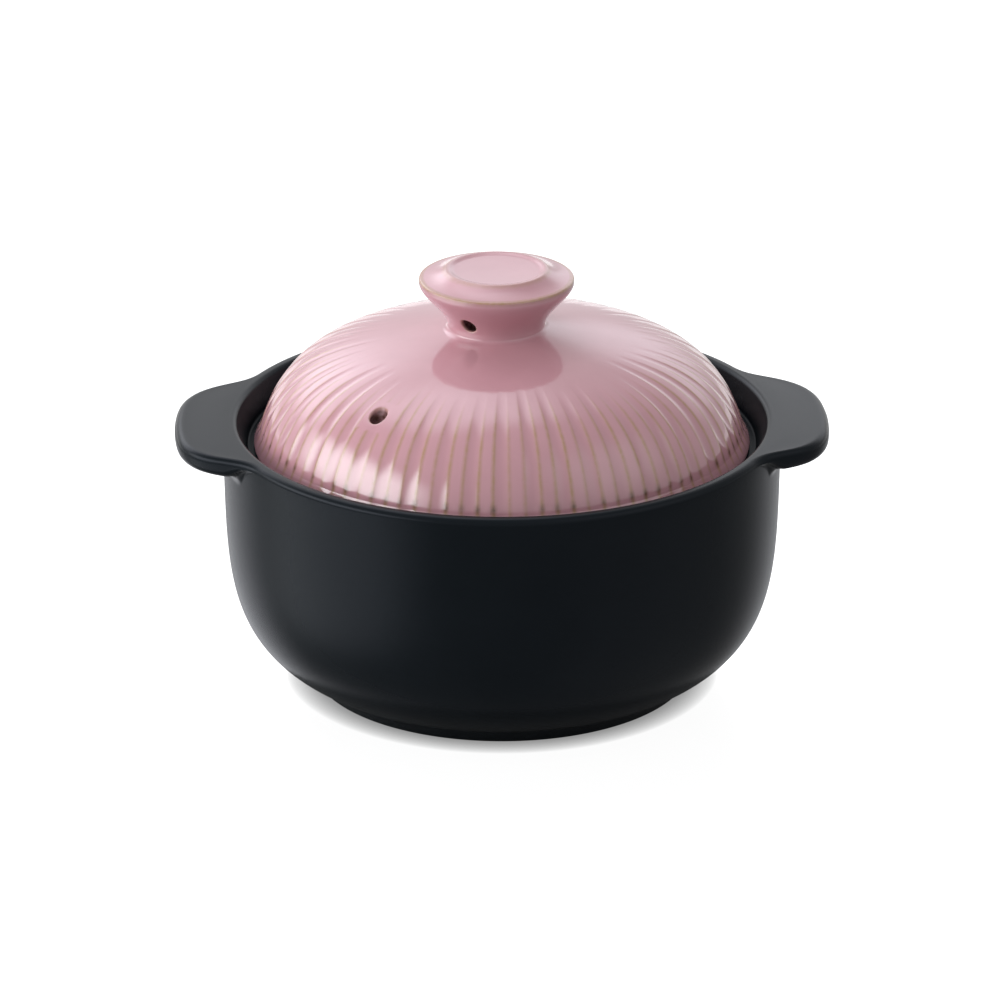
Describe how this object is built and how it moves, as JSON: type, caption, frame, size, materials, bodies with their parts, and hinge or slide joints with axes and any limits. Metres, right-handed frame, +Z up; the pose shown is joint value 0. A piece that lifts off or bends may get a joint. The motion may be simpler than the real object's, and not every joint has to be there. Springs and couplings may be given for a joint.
{
  "type": "ceramic hot pot",
  "caption": "Round ceramic cooking pot with lug handles, a foot ring and a lift-off fluted dome lid that has a flared knob and steam vents.",
  "frame": {"origin": "on the table, at the middle of the foot ring", "axes": "+X towards the right handle, -Y towards the front of the picture, +Z up"},
  "size_m": [0.2458, 0.21, 0.1611],
  "materials": {
    "black_glaze": "satin",
    "pink_glaze": "gloss"
  },
  "bodies": {
    "pot": {"pot_bowl": "black_glaze", "foot_ring": "black_glaze", "left_handle": "black_glaze", "right_handle": "black_glaze"},
    "lid": {"lid_dome": "pink_glaze", "lid_knob": "pink_glaze"}
  },
  "joints": [
    {"name": "lid_lift", "type": "slide", "parent": "pot", "child": "lid", "axis": [0, 0, 1], "range_m": [0, 0.12]}
  ]
}
